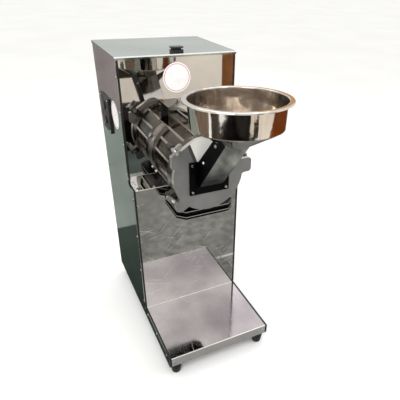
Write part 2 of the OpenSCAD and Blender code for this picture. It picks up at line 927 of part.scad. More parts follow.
module chamber_body() {
    color("dimgray") difference() {
        union() {
            difference() {
                bar_y(chamber_r, upper_y, rim_y);
                ring_y(chamber_r + cut, chamber_r - joint_d, upper_y - flange_t, upper_y - flange_t - joint_w);
                for (i = [0 : rib_count - 1])
                    polar((i + 0.5) * 360 / rib_count)
                        block([chamber_r - pocket_d, pocket_y, -pocket_w / 2],
                              [chamber_r + cut, collar_y, pocket_w / 2]);
            }
            stud_boss(top_stud);
            stud_boss(low_stud);
            hinge_ears();
        }
        bar_y(spigot_r + fit_gap, upper_y + cut, collar_y + wall_t);
        bar_y(chamber_bore, collar_y, rim_y - cut);
        bar_y(seal_r, upper_y, collar_y - cut);
        block([-outlet_w / 2, outlet_front, axis_z - chamber_r - cut],
              [outlet_w / 2, outlet_back, axis_z - chamber_bore / 2]);
        for (p = [top_stud, low_stud])
            bar_y(stud_r + fit_gap, boss_back + cut, boss_front - cut, p[0], axis_z + p[1]);
        translate([hinge_x, hinge_y, hinge_z - barrel_half - ear_len - cut])
            cylinder(r = hinge_pin_r + shaft_gap, h = 2 * (barrel_half + ear_len) + 2 * cut);
        collar_bolts() translate([0, 0, spigot_r - cut]) cylinder(r = bolt_r + fit_gap, h = chamber_r);
    }
}

module chamber_bolts() {
    color("gainsboro") collar_bolts() translate([0, 0, chamber_r])
        hex_bolt(chamber_r - spigot_r + spigot_wall - cut);
}

module mount_hood() {
    color("silver") difference() {
        block([-hood_hw, collar_y, axis_z], [hood_hw, upper_y, hood_top]);
        block([-hood_hw + hood_t, collar_y + hood_t, axis_z - cut],
              [hood_hw - hood_t, upper_y + cut, hood_top - hood_t]);
        bar_y(chamber_r, upper_y + cut, collar_y - cut);
    }
}

// Part of a ring in the chamber's bore, between two angles from the right
module ring_arc(r_out, r_in, a0, a1) {
    translate([0, inner_back, axis_z]) rotate([90, 0, 0]) rotate([0, 0, a0])
        rotate_extrude(angle = a1 - a0) translate([r_in, 0]) square([r_out - r_in, inner_back - inner_front]);
}

// Toothed breaker liner over the upper part of the bore
module chamber_liner() {
    a0 = sieve_arc / 2 + liner_gap - 90;
    a1 = 270 - sieve_arc / 2 - liner_gap;
    color("gray") difference() {
        ring_arc(liner_r, liner_r - liner_t, a0, a1);
        for (i = [1 : liner_teeth - 1])
            polar(a0 + i * (a1 - a0) / liner_teeth)
                translate([liner_r - liner_t, inner_back + cut, 0]) rotate([90, 0, 0])
                    linear_extrude(inner_back - inner_front + 2 * cut)
                        polygon([[-cut, -tooth_w / 2], [tooth_d, 0], [-cut, tooth_w / 2]]);
    }
}

// Perforated screen over the outlet
module sieve() {
    y_pitch = outlet_len / sieve_rows;
    a_pitch = (sieve_arc - 2 * sieve_margin) / sieve_cols;
    color("lightgray") difference() {
        ring_arc(liner_r, liner_r - sieve_t, 270 - sieve_arc / 2, 270 + sieve_arc / 2);
        for (i = [0 : sieve_rows - 1], j = [0 : sieve_cols - 1])
            polar(270 + (j - (sieve_cols - 1) / 2) * a_pitch)
                translate([liner_r - sieve_t - cut, outlet_back - (i + 0.5) * y_pitch, 0]) rotate([0, 90, 0])
                    cylinder(r = sieve_hole_r, h = sieve_t + 2 * cut);
    }
}

module shaft_seal() {
    color("black") ring_y(seal_r - fit_gap, shaft_r + shaft_gap, collar_y + wall_t, collar_y);
}

module beater_disc() {
    color("gray") difference() {
        union() {
            bar_y(hub_r, hub_back, hub_back - hub_len);
            bar_y(disc_r, disc_back, disc_back - disc_t);
        }
        bar_y(shaft_r + shaft_gap, hub_back + cut, hub_back - hub_len - cut);
    }
}

module beaters() {
    y1 = disc_back - disc_t;
    color("lightgray")
        for (i = [0 : beater_count - 1])
            polar(i * 360 / beater_count)
                block([beater_in, y1 - beater_len, -beater_w / 2], [beater_r, y1, beater_w / 2]);
}

module beater_nut() {
    y1 = hub_back - hub_len;
    color("gainsboro") difference() {
        union() {
            bar_y(washer_r, y1, y1 - washer_t);
            translate([0, y1, axis_z]) rotate([90, 0, 0]) cylinder(r = nut_r, h = washer_t + nut_h, $fn = 6);
        }
        bar_y(shaft_r + shaft_gap, y1 + cut, y1 - washer_t - nut_h - cut);
    }
}

// Outlet

// Rectangle with cut corners, centred under the outlet
module cut_rect(w, len) {
    hw = w / 2;
    hl = len / 2;
    polygon([
        [-hw + corner_cut, -hl], [hw - corner_cut, -hl], [hw, -hl + corner_cut], [hw, hl - corner_cut],
        [hw - corner_cut, hl], [-hw + corner_cut, hl], [-hw, hl - corner_cut], [-hw, -hl + corner_cut]
    ]);
}

module outlet_throat() {
    color("black") difference() {
        block([-outlet_w / 2 - throat_t, outlet_front - throat_t, outlet_top],
              [outlet_w / 2 + throat_t, outlet_back + throat_t, axis_z - chamber_bore / 2]);
        block([-outlet_w / 2, outlet_front, outlet_top - cut],
              [outlet_w / 2, outlet_back, axis_z]);
        bar_y(chamber_r, upper_y, rim_y);
    }
}

module outlet_collar() {
    layer = outlet_h / 3;
    color("black") difference() {
        translate([0, outlet_mid, outlet_top - outlet_h]) linear_extrude(outlet_h)
            cut_rect(outlet_over_w, outlet_over_len);
        translate([0, outlet_mid, outlet_top - 2 * layer]) linear_extrude(layer) difference() {
            square([2 * outlet_over_w, 2 * outlet_over_len], center = true);
            cut_rect(outlet_over_w - 2 * groove_d, outlet_over_len - 2 * groove_d);
        }
        block([-outlet_w / 2, outlet_front, outlet_top - outlet_h - cut],
              [outlet_w / 2, outlet_back, outlet_top + cut]);
    }
}

// Door with its chute and hopper

// Outline of the door in its own plane, with the two clamp lugs and the hinge lug
module door_outline() {
    circle(r = door_r);
    for (lug = [top_lug, low_lug])
        polygon([for (place = lug) at_rim(door_r, place)]);
    polygon(concat(
        [[door_r / 2, lug_hi], [door_r / 2, lug_lo - lug_fillet]],
        [[door_r - lug_root, lug_lo - lug_fillet]],
        arc([fillet_x, lug_lo - lug_fillet], lug_fillet, fillet_turn, 90),
        arc([lug_x - lug_round, lug_lo + lug_round], lug_round, -90, 0),
        arc([lug_x - lug_round, lug_hi - lug_round], lug_round, 0, 90)
    ));
}

module door() {
    color("gray") difference() {
        union() {
            translate([0, 0, axis_z]) plate_xz(door_back, door_t) door_outline();
            block([hinge_x - door_knuckle_r, door_back - cut, hinge_z - barrel_half],
                  [hinge_x + door_knuckle_r, hinge_y, hinge_z + barrel_half]);
            translate([hinge_x, hinge_y, hinge_z - barrel_half])
                cylinder(r = door_knuckle_r, h = 2 * barrel_half);
        }
        translate([hinge_x, hinge_y, hinge_z - barrel_half - cut])
            cylinder(r = hinge_pin_r + shaft_gap, h = 2 * (barrel_half + cut));
        block([-feed_hw, door_y - cut, inlet_lo], [feed_hw, door_back + cut, inlet_hi]);
        ring_y(chamber_r - gasket_in, chamber_bore + gasket_in, door_back + cut, door_back - gasket_t);
    }
}

module door_gasket() {
    color("black") ring_y(chamber_r - gasket_in - fit_gap, chamber_bore + gasket_in + fit_gap,
                                door_back, door_back - gasket_t);
}

module door_hinge_pin() {
    z0 = hinge_z - barrel_half - ear_gap - ear_len;
    h = 2 * (barrel_half + ear_gap + ear_len);
    color("gainsboro") translate([hinge_x, hinge_y, z0]) {
        cylinder(r = hinge_pin_r, h = h);
        translate([0, 0, h]) cylinder(r = pin_head_r, h = pin_head_h);
    }
}

module inlet_plate() {
    color("black") difference() {
        block([-plate_w / 2, plate_y, plate_lo], [plate_w / 2, door_y, plate_hi]);
        block([-feed_hw, plate_y - cut, inlet_lo], [feed_hw, door_y + cut, inlet_hi]);
    }
}

module inlet_plate_screws() {
    color("gainsboro")
        for (sx = [-1, 1], z = [plate_lo + screw_inset, plate_hi - screw_inset])
            translate([sx * (plate_w / 2 - screw_inset), plate_y, z]) rotate([90, 0, 0])
                cylinder(r1 = screw_r, r2 = screw_top_r, h = screw_h);
}

// Slanted passage of the chute, grown by t on every side
module chute_space(t) {
    lo_slope = (mouth_front - plate_y + toe) / (mouth_z - inlet_lo);
    start = t > 0 ? plate_y : plate_y + cut;
    top = mouth_z + mouth_rise;
    plate_yz(-feed_hw - t, 2 * (feed_hw + t)) polygon([
        [start, inlet_lo - t], [plate_y - toe, inlet_lo - t],
        [plate_y - toe - t + lo_slope * (top - inlet_lo), top],
        [plate_y + t + hi_slope * (top - inlet_hi), top],
        [plate_y, inlet_hi + t], [start, inlet_hi + t]
    ]);
}

module feed_chute() {
    color("silver") difference() {
        union() {
            chute_space(bowl_t);
            block([-feed_hw - foot_flange, plate_y - foot_flange_t, inlet_lo - foot_flange],
                  [feed_hw + foot_flange, plate_y, inlet_hi + bowl_t]);
        }
        chute_space(0);
        bowl_solid(0);
        at_chute_screws() cylinder(r = chute_screw_r + fit_gap, h = 2 * bowl_t + cut, center = true);
    }
}

// Turns children so that +Z points out of the chute's side at each side screw
module at_chute_screws() {
    for (s = [-1, 1], z = [inlet_hi + chute_screw_up, mouth_z - chute_screw_down])
        translate([s * (feed_hw + bowl_t), plate_y + hi_slope * (z - inlet_hi) - chute_screw_in, z])
            rotate([0, s * 90, 0]) children();
}

module chute_screws() {
    color("gainsboro") at_chute_screws() {
        cylinder(r1 = screw_r, r2 = screw_top_r, h = screw_h);
        translate([0, 0, -bowl_t]) cylinder(r = chute_screw_r, h = bowl_t + cut);
    }
}

// Stands children on the hopper's axis, with the middle of its rim at zero
module at_bowl() {
    translate([0, hopper_y, hopper_z]) rotate([-hopper_lean, 0, 0]) children();
}

// Solid inside the bowl's outer surface, or inside its inner surface, flared at the lip, when t is the sheet
module bowl_solid(t) {
    slope_a = atan2(hopper_dish - corner_r, hopper_base_r - dish_r);
    flare = hopper_r - t + lip_r;
    mouth = t > 0
        ? concat([[0, cut], [flare, cut]], arc([flare, -lip_r], lip_r, 90, 180))
        : [[0, 0], [hopper_r, 0]];
    at_bowl() rotate_extrude() polygon(concat(
        mouth,
        arc([hopper_base_r - corner_r, -hopper_wall], corner_r - t, 0, slope_a - 90),
        [[dish_r, t - hopper_depth], [0, t - hopper_depth]]
    ));
}

module hopper_bowl() {
    color("silver") difference() {
        union() {
            bowl_solid(0);
            at_bowl() rotate_extrude() polygon(concat(
                [[hopper_r - bowl_t, 0], [hopper_r - bowl_t, -rim_t], [rim_r - rim_t, -rim_t]],
                [[rim_r - rim_t, -rim_drop], [rim_r, -rim_drop]],
                arc([rim_r - rim_t, -rim_t], rim_t, 0, 90)
            ));
        }
        bowl_solid(bowl_t);
        chute_space(0);
    }
}

// Door clamps: a stud from behind each boss, a spacer, a turning dog and a wing nut

module clamp_studs() {
    color("gainsboro")
        for (p = [top_stud, low_stud]) {
            bar_y(stud_r, boss_back, stud_front, p[0], axis_z + p[1]);
            translate([p[0], boss_back, axis_z + p[1]]) rotate([-90, 0, 0])
                cylinder(r = bolt_head_r, h = bolt_head_h, $fn = 6);
            ring_y(spacer_r, stud_r + fit_gap, boss_front, spacer_front, p[0], axis_z + p[1]);
        }
}

// Dog at a stud, pointing at an angle from the right
module dog(p, a) {
    translate([p[0], spacer_front - shaft_gap, axis_z + p[1]]) rotate([0, -a, 0]) rotate([90, 0, 0])
        linear_extrude(dog_t - shaft_gap) difference() {
            union() {
                circle(r = dog_hw);
                translate([0, -dog_hw]) square([dog_len - 2 * dog_hw, 2 * dog_hw]);
                translate([dog_len - 2 * dog_hw, 0]) circle(r = dog_hw);
            }
            circle(r = stud_r + shaft_gap);
        }
}

module top_clamp_dog() {
    color("silver") dog(top_stud, top_dog_turn);
}

module bottom_clamp_dog() {
    color("silver") dog(low_stud, low_dog_turn);
}

// Wing nut: a tapered hub with two raised wings
module wing_nut(p, a) {
    lobe = arc([wing_span - wing_r, wing_h - wing_in], wing_r, wing_low, 180 + wing_low);
    translate([p[0], nut_back, axis_z + p[1]]) rotate([0, -a, 0]) rotate([90, 0, 0]) difference() {
        union() {
            cylinder(r1 = nut_hub_r, r2 = nut_tip_r, h = nut_len);
            for (s = [-1, 1])
                translate([0, wing_t / 2, 0]) rotate([90, 0, 0]) linear_extrude(wing_t) scale([s, 1])
                    polygon(concat([[wing_in, cut], [nut_hub_r, cut]], lobe, [[wing_in, nut_len - cut]]));
        }
        translate([0, 0, -cut]) cylinder(r = stud_r + shaft_gap, h = wing_h + nut_len);
    }
}

module top_wing_nut() {
    color("gainsboro") wing_nut(top_stud, top_nut_turn);
}

module bottom_wing_nut() {
    color("gainsboro") wing_nut(low_stud, low_nut_turn);
}

// Switch on the left side, and the cable gland on the back

// Turns children so that +Z points out of the left side, at the switch's centre moved up by dz
module at_switch(dz = 0) {
    translate([-half_w, sw_y, switch_z + dz]) rotate([0, -90, 0]) children();
}

module switch_box() {
    color("black") difference() {
        union() {
            block([-half_w - face_t, sw_y - switch_w / 2, switch_z - switch_h / 2],
                  [-half_w, sw_y + switch_w / 2, switch_z + switch_h / 2]);
            block([-half_w - cut, sw_y - body_hw, switch_z - body_hh],
                  [-half_w + body_d, sw_y + body_hw, switch_z + body_hh]);
        }
        for (s = [-1, 1]) at_switch(s * button_pitch / 2) {
            cylinder(r = button_r + run_gap, h = face_t + cut);
            translate([0, 0, -pocket_depth]) cylinder(r = button_flange_r + run_gap, h = pocket_depth);
        }
    }
}

// Push button with a flange that holds it behind the box's face
module button(dz) {
    at_switch(dz) {
        translate([0, 0, -run_gap - cut]) cylinder(r = button_r, h = face_t + button_proud + run_gap + cut);
        translate([0, 0, -run_gap - button_flange_t]) cylinder(r = button_flange_r, h = button_flange_t);
    }
}

module start_button() {
    color("green") button(button_pitch / 2);
}

module stop_button() {
    color("red") button(-button_pitch / 2);
}

module switch_screws() {
    dy = switch_w / 2 - box_screw_in;
    dz = switch_h / 2 - box_screw_in;
    color("gainsboro")
        for (sy = [-1, 1], sz = [-1, 1])
            at_switch() translate([sz * dz, sy * dy, face_t])
                cylinder(r1 = box_screw_r, r2 = box_screw_top_r, h = box_screw_h);
}

module cable_gland() {
    color("black") difference() {
        union() {
            translate([gland_x, back_y + gland_nut_t, gland_z]) rotate([90, 0, 0])
                cylinder(r = gland_hex_r, h = gland_nut_t, $fn = 6);
            translate([gland_x, back_y + gland_nut_t, gland_z]) rotate([-90, 0, 0])
                cylinder(r1 = gland_cap_r, r2 = gland_tip_r, h = gland_reach - gland_nut_t);
            bar_y(gland_r, back_y + cut, back_y - sheet_t - gland_nut_t, gland_x, gland_z);
            translate([gland_x, back_y - sheet_t, gland_z]) rotate([90, 0, 0])
                cylinder(r = gland_hex_r, h = gland_nut_t, $fn = 6);
        }
        bar_y(gland_bore, back_y + gland_reach + cut, back_y - sheet_t - 2 * gland_nut_t, gland_x, gland_z);
    }
}

left_side_panel();
right_side_panel();
back_panel();
upper_front_panel();
lower_front_panel();
base_tray();
base_frame();
rubber_feet();
edge_trim();
cabinet_rivets();
lid();
lid_handle();
lid_handle_screws();
lid_hinge_leaves();
lid_hinge_straps();
lid_hinge_pins();
motor_shelf();
shelf_rails();
motor_barrel();
motor_front_shield();
motor_rear_shield();
fan_cowl();
cooling_fan();
stator_core();
rotor_core();
motor_bearings();
motor_shaft();
terminal_box();
run_capacitor();
motor_bolts();
mounting_plate();
chamber_body();
chamber_bolts();
mount_hood();
chamber_liner();
sieve();
shaft_seal();
beater_disc();
beaters();
beater_nut();
outlet_throat();
outlet_collar();
door();
door_gasket();
door_hinge_pin();
inlet_plate();
inlet_plate_screws();
feed_chute();
chute_screws();
hopper_bowl();
clamp_studs();
top_clamp_dog();
bottom_clamp_dog();
top_wing_nut();
bottom_wing_nut();
switch_box();
start_button();
stop_button();
switch_screws();
cable_gland();
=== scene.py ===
import math

import bmesh
import bpy
from mathutils import Matrix, Vector


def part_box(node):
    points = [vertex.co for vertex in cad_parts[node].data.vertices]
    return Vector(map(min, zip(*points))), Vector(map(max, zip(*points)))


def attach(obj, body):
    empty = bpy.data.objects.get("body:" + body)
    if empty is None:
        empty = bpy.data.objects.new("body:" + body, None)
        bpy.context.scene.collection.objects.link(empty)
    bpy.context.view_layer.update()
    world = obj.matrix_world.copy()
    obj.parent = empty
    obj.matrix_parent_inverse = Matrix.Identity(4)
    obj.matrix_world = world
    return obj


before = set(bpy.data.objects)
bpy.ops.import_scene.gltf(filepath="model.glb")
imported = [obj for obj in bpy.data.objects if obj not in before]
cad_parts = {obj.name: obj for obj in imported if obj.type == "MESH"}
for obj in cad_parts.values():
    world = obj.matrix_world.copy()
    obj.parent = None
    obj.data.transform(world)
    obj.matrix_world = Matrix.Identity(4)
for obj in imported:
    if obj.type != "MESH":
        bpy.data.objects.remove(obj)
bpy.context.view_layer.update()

# Camera: stands at the machine's front left corner, a little above the lid, and looks down at the
# chamber. The shift puts the machine where the photograph has it in the square picture.
camera = bpy.data.objects.new("camera", bpy.data.cameras.new("camera"))
bpy.context.scene.collection.objects.link(camera)
bpy.context.scene.camera = camera
camera.data.sensor_width = 36.0
camera.data.lens = 36.99
camera.data.shift_x = -0.0785
camera.data.shift_y = 0.0548
camera_place = Vector((-0.431, -1.0775, 1.143))
turn, tilt, roll = math.radians(-28.06), math.radians(31.83), math.radians(2.20)
back = Vector((math.sin(turn) * math.cos(tilt), -math.cos(turn) * math.cos(tilt), math.sin(tilt)))
level = Vector((math.cos(turn), math.sin(turn), 0.0))
upright = level.cross(-back)
right = math.cos(roll) * level + math.sin(roll) * upright
above = -math.sin(roll) * level + math.cos(roll) * upright
camera.matrix_world = Matrix.Translation(camera_place) @ Matrix((right, above, back)).transposed().to_4x4()


# Studio: a pale painted floor under soft light from all round, as for a catalogue picture. Plain paper
# cards stand and lie out of the picture, where only shiny surfaces see them, because a mirror finish
# needs something to reflect.
def linear(colour):
    """sRGB hex colour as linear RGBA."""
    parts = [int(colour[i:i + 2], 16) / 255 for i in (1, 3, 5)]
    return [c / 12.92 if c <= 0.04045 else ((c + 0.055) / 1.055) ** 2.4 for c in parts] + [1.0]


def node(tree, kind, inputs=None, **settings):
    """One node with its settings; an input, by name or number, takes a value or another node's output."""
    made = tree.nodes.new(kind)
    for name, value in settings.items():
        setattr(made, name, value)
    for name, value in (inputs or {}).items():
        if isinstance(value, bpy.types.NodeSocket):
            tree.links.new(value, made.inputs[name])
        else:
            made.inputs[name].default_value = value
    return made


def surface(name, light, dark, patch_mm, rough, grain_mm, grain_depth_mm, metallic=0.0):
    """Material whose colour drifts between two tones in patches, with roughness to match and a fine grain.

    A real grain of less than a millimetre wouldn't show, so it is drawn as coarse as the sizes given say.
    """
    light_below, dark_above = 0.36, 0.64
    material = bpy.data.materials.new(name)
    material.use_nodes = True
    tree = material.node_tree
    tree.nodes.clear()
    place = node(tree, "ShaderNodeTexCoord", name="place").outputs["Object"]
    patches = node(tree, "ShaderNodeTexNoise", {"Vector": place, "Scale": 1000 / patch_mm, "Detail": 4.0})
    drift = node(tree, "ShaderNodeMapRange", {0: patches.outputs[0], 1: light_below, 2: dark_above})
    tone = node(tree, "ShaderNodeMix", {0: drift.outputs[0], 6: linear(light), 7: linear(dark)},
                data_type="RGBA", name="tone")
    gloss = node(tree, "ShaderNodeMapRange", {0: drift.outputs[0], 3: rough[0], 4: rough[1]}, name="gloss")
    grain = node(tree, "ShaderNodeTexNoise", {"Vector": place, "Scale": 1000 / grain_mm, "Detail": 2.0})
    relief = node(tree, "ShaderNodeBump", {"Height": grain.outputs[0], "Distance": grain_depth_mm / 1000},
                  name="relief")
    shader = node(tree, "ShaderNodeBsdfPrincipled", {
        "Base Color": tone.outputs[2], "Roughness": gloss.outputs[0], "Normal": relief.outputs[0],
        "Metallic": metallic}, name="shader")
    node(tree, "ShaderNodeOutputMaterial", {"Surface": shader.outputs[0]})
    return material


floor_half_m = 60.0
floor_mesh = bpy.data.meshes.new("floor")
floor_corners = [(x * floor_half_m, y * floor_half_m, 0) for x, y in ((-1, -1), (1, -1), (1, 1), (-1, 1))]
floor_mesh.from_pydata(floor_corners, [], [[0, 1, 2, 3]])
floor = bpy.data.objects.new("floor", floor_mesh)
bpy.context.scene.collection.objects.link(floor)
floor_paint = surface("pale_floor_paint", "#fbfbfa", "#f7f7f6", patch_mm=900, rough=(0.55, 0.65),
                      grain_mm=30, grain_depth_mm=0.05)
floor_paint.node_tree.nodes["shader"].inputs["Specular IOR Level"].default_value = 0.0
floor_mesh.materials.append(floor_paint)


def card(name, corners, light, dark, patch_mm=400):
    """Flat studio card between corners in metres, seen only in reflections."""
    mesh = bpy.data.meshes.new(name)
    mesh.from_pydata(corners, [], [list(range(len(corners)))])
    made = bpy.data.objects.new(name, mesh)
    bpy.context.scene.collection.objects.link(made)
    paper = surface(name + "_paper", light, dark, patch_mm, rough=(0.8, 0.9), grain_mm=20, grain_depth_mm=0.1)
    paper.node_tree.nodes["shader"].inputs["Specular IOR Level"].default_value = 0.0
    mesh.materials.append(paper)
    made.visible_camera = False
    made.visible_shadow = False
    made.visible_diffuse = False


def lying(x0, y0, x1, y1, lift=0.004):
    """Corners of a card lying on the floor."""
    return [(x0, y0, lift), (x1, y0, lift), (x1, y1, lift), (x0, y1, lift)]


def standing(y, *corners):
    """Corners of an upright card that faces the machine, from its place in y and its corners' x and z."""
    return [(x, y, z) for x, z in corners]


far_front, front, behind, far_behind = -2.2, -2.19, 1.5, 2.1
grey_paper, cream_paper = ("#93938e", "#747471", 45), ("#e9e0d5", "#dcd3c8")
card("grey_floor_card", lying(-1.5, -1.15, 1.28, -0.228), *grey_paper)
card("pale_floor_card", lying(0.42, -2.2, 1.08, -1.15), "#ece4dc", "#d5cdc6")
card("black_floor_card", lying(-1.9, -2.2, 0.42, -1.15), "#0b0908", "#050404")
card("dark_far_floor_card", lying(-1.9, -3.6, 0.8, -2.2), "#2b2928", "#1b1a19")
card("dark_green_floor_card", lying(0.06, -1.52, 0.28, -1.15, lift=0.006), "#4e5551", "#3d4340")
card("dark_left_floor_card", lying(-2.7, -1.15, -1.5, -0.35), "#453f39", "#332e2a")
card("beige_left_floor_card", lying(-2.9, -0.12, -1.62, 1.5), "#7d6e62", "#685a4f")
card("warm_right_floor_card", lying(1.28, -1.62, 3.0, 1.05), "#7a421f", "#5a2f13")
card("cream_floor_card", lying(1.08, -2.2, 2.6, -1.62), *cream_paper)
card("side_floor_card", lying(0.19, -0.22, 1.0, -0.06), *grey_paper)
card("chute_floor_card", lying(0.19, -0.06, 1.0, 0.2), "#ced0ca", "#6b6c68", patch_mm=60)
card("cone_floor_card", lying(0.19, 0.2, 1.28, 1.9), "#72736f", "#62635f")
card("green_floor_card", lying(-1.6, -0.3, -0.184, 0.72), "#434c46", "#333b36")
card("pale_green_floor_card", lying(-1.6, 0.72, -0.184, 1.5), "#8f9691", "#7f8681")
card("brown_card", standing(far_front, (0.0, 0.12), (0.66, 0.12), (0.66, 0.3), (0.82, 0.46), (0.82, 0.66),
                            (0.0, 0.66)), "#4d4036", "#2c241f")
card("beige_card", standing(front, (0.3, 0.155), (0.482, 0.155), (0.432, 0.35), (0.3, 0.35)),
     "#e0d7cc", "#d0c6bb")
card("pale_left_card", standing(front, (0.02, 0.08), (0.29, 0.08), (0.29, 0.6), (0.02, 0.6)),
     "#d9d0c5", "#c8beb3")
card("shelf_card", standing(front, (0.5, 0.165), (0.66, 0.165), (0.66, 0.2), (0.5, 0.2)),
     "#d6cbbd", "#c0b5a7")
card("cream_card", standing(far_front, (0.66, 0.0), (2.6, 0.0), (2.6, 0.195), (1.25, 0.195), (1.25, 0.66),
                            (0.82, 0.66), (0.82, 0.46), (0.66, 0.3)), *cream_paper)
card("warm_card", standing(far_front, (1.25, 0.195), (2.6, 0.195), (2.6, 0.66), (1.25, 0.66)),
     "#8a5a38", "#5f3d26")
card("green_back_card", standing(behind, (-2.2, 0.0), (-0.1, 0.0), (-0.1, 0.33), (-2.2, 0.33)),
     "#8f9791", "#7f8781")
card("warm_back_card", standing(far_behind, (1.45, 1.0), (2.8, 1.0), (2.8, 1.75), (1.45, 1.75)),
     "#cfa67e", "#b98f68")
card("pink_back_card", standing(behind, (-2.2, 0.33), (-0.1, 0.33), (-0.1, 1.1), (-2.2, 1.1)),
     "#a89d9d", "#857a7a")

world = bpy.data.worlds.new("soft_studio")
bpy.context.scene.world = world
world.use_nodes = True
sky = world.node_tree
sky.nodes.clear()
pale_above, brightness = 0.8, 1.12
ray = node(sky, "ShaderNodeTexCoord").outputs["Generated"]
height = node(sky, "ShaderNodeSeparateXYZ", {0: ray}).outputs[2]
rise = node(sky, "ShaderNodeMapRange", {0: height, 1: 0.0, 2: pale_above}, interpolation_type="SMOOTHSTEP")
glow = node(sky, "ShaderNodeMix", {0: rise.outputs[0], 6: linear("#d6d7d6"), 7: linear("#fbfaf8")},
            data_type="RGBA")
air = node(sky, "ShaderNodeBackground", {"Color": glow.outputs[2], "Strength": brightness})
node(sky, "ShaderNodeOutputWorld", {"Surface": air.outputs[0]})

lit_spot = Vector((0.0, -0.05, 0.5))
for name, place, size, power, mirrored in (("key_softbox", (-1.7, -1.5, 2.3), 1.4, 26.0, True),
                                           ("top_softbox", (0.3, 0.6, 2.8), 1.8, 20.0, True),
                                           ("right_strip", (1.9, -1.0, 1.5), 0.7, 12.0, False)):
    lamp = bpy.data.lights.new(name, "AREA")
    lamp.size = size
    lamp.energy = power
    softbox = bpy.data.objects.new(name, lamp)
    softbox.location = place
    softbox.visible_glossy = mirrored
    softbox.rotation_euler = (lit_spot - Vector(place)).to_track_quat("-Z", "Y").to_euler()
    bpy.context.scene.collection.objects.link(softbox)

bpy.context.scene.view_settings.view_transform = "Standard"


# Base frame, motor shelf, rails and mounting plate: angle and plate steel, cut, drilled and welded, then
# painted. They stand inside the cabinet and carry the motor and the chamber. Shop paint gives a dull grey
# with a faint pebble.
def dress(material, *names):
    """Gives the CAD nodes of these names one material."""
    for name in names:
        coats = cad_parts[name].data.materials
        coats.clear()
        coats.append(material)


grey_paint = surface("grey_shop_paint", "#7d7e80", "#6c6d70", patch_mm=60, rough=(0.42, 0.6),
                     grain_mm=1.5, grain_depth_mm=0.08)
dress(grey_paint, "base_frame", "motor_shelf", "shelf_rails", "mounting_plate")

# Rubber feet, edging, gasket and seal: black moulded rubber, which takes the light softly. The feet are
# bolted under the frame and the edging is a strip squeezed between the side and front sheets.
black_rubber = surface("moulded_black_rubber", "#1a1a1b", "#0d0d0d", patch_mm=25, rough=(0.55, 0.75),
                       grain_mm=1.2, grain_depth_mm=0.08)
dress(black_rubber, "rubber_feet", "edge_trim", "door_gasket", "shaft_seal")


# Upper front panel, back and hood: stainless sheet, cut, folded and polished to a mirror. Thin sheet is
# never quite flat, so reflections waver, and wiping leaves streaks that lean both ways. Real streaks are
# finer than a picture shows, so they are drawn wider.
def polished_sheet(name, light, dark, rough, lean, streak_rough, wave_mm=170, wave_depth_mm=0.06):
    """Mirror-polished sheet with wiping streaks that lean by some degrees to either side."""
    clear_below, streaked_above = 0.62, 0.76
    material = surface(name, light, dark, 240, rough, wave_mm, wave_depth_mm, metallic=1.0)
    tree = material.node_tree
    place = tree.nodes["place"].outputs["Object"]
    dulled = tree.nodes["gloss"].outputs[0]
    for side, across_mm, along_mm in ((1, 5.0, 150.0), (-1, 3.0, 90.0)):
        slant = side * math.radians(lean)
        leant = node(tree, "ShaderNodeMapping", {"Vector": place, "Rotation": (slant, slant, 0.0)})
        drawn = node(tree, "ShaderNodeMapping", {
            "Vector": leant.outputs[0], "Scale": (1000 / along_mm, 1000 / along_mm, 1000 / across_mm)})
        streaks = node(tree, "ShaderNodeTexNoise", {"Vector": drawn.outputs[0], "Scale": 1.0, "Detail": 3.0})
        marks = node(tree, "ShaderNodeMapRange", {
            0: streaks.outputs[0], 1: clear_below, 2: streaked_above, 4: streak_rough})
        dulled = node(tree, "ShaderNodeMath", {0: dulled, 1: marks.outputs[0]}, operation="ADD").outputs[0]
    tree.links.new(dulled, tree.nodes["shader"].inputs["Roughness"])
    return material


front_steel = polished_sheet("mirror_stainless_front", "#dad9d6", "#cbcac7", rough=(0.01, 0.03), lean=35.0,
                             streak_rough=0.05)
dress(front_steel, "upper_front_panel", "mount_hood", "back_panel")


# Lower front panel: the same sheet with the ledge folded from it, scratched by years of bins pushed on to
# the tray. The real scratches are finer than a picture shows, so they are drawn wider. The ledge's top is a
# clean mirror in a brighter colour, a painted highlight, and its fold is a pale painted highlight line.
def zone(tree, *ranges, soft=0.0004, within=None):
    """Mask that is 1 inside ranges of (axis, lower, upper) in metres, within another mask if given."""
    apart = node(tree, "ShaderNodeSeparateXYZ", {0: tree.nodes["place"].outputs["Object"]})
    mask = within
    for axis, lower, upper in ranges:
        for from_value, to_value, at_from in ((lower - soft, lower, 0.0), (upper, upper + soft, 1.0)):
            ramp = node(tree, "ShaderNodeMapRange", {
                0: apart.outputs[axis], 1: from_value, 2: to_value, 3: at_from, 4: 1.0 - at_from}).outputs[0]
            if mask is None:
                mask = ramp
            else:
                mask = node(tree, "ShaderNodeMath", {0: mask, 1: ramp}, operation="MULTIPLY").outputs[0]
    return mask


def second_finish(material, mask, colour, rough, metallic):
    """Another finish on the part of a surface that a mask picks out."""
    tree = material.node_tree
    for name, mixed in (("Base Color", linear(colour)), ("Roughness", rough), ("Metallic", metallic)):
        socket = tree.nodes["shader"].inputs[name]
        colours = name == "Base Color"
        first = socket.links[0].from_socket if socket.links else socket.default_value
        blend = node(tree, "ShaderNodeMix", {0: mask, 6 if colours else 2: first, 7 if colours else 3: mixed},
                     data_type="RGBA" if colours else "FLOAT")
        tree.links.new(blend.outputs[2 if colours else 0], socket)


past_m = 0.001


def top_fold(box, deep_mm, high_mm):
    """Ranges of a zone along the top front edge of a box, reaching a little past the faces there."""
    lowest, highest = box
    return ((1, lowest.y - past_m, lowest.y + deep_mm / 1000),
            (2, highest.z - high_mm / 1000, highest.z + past_m))


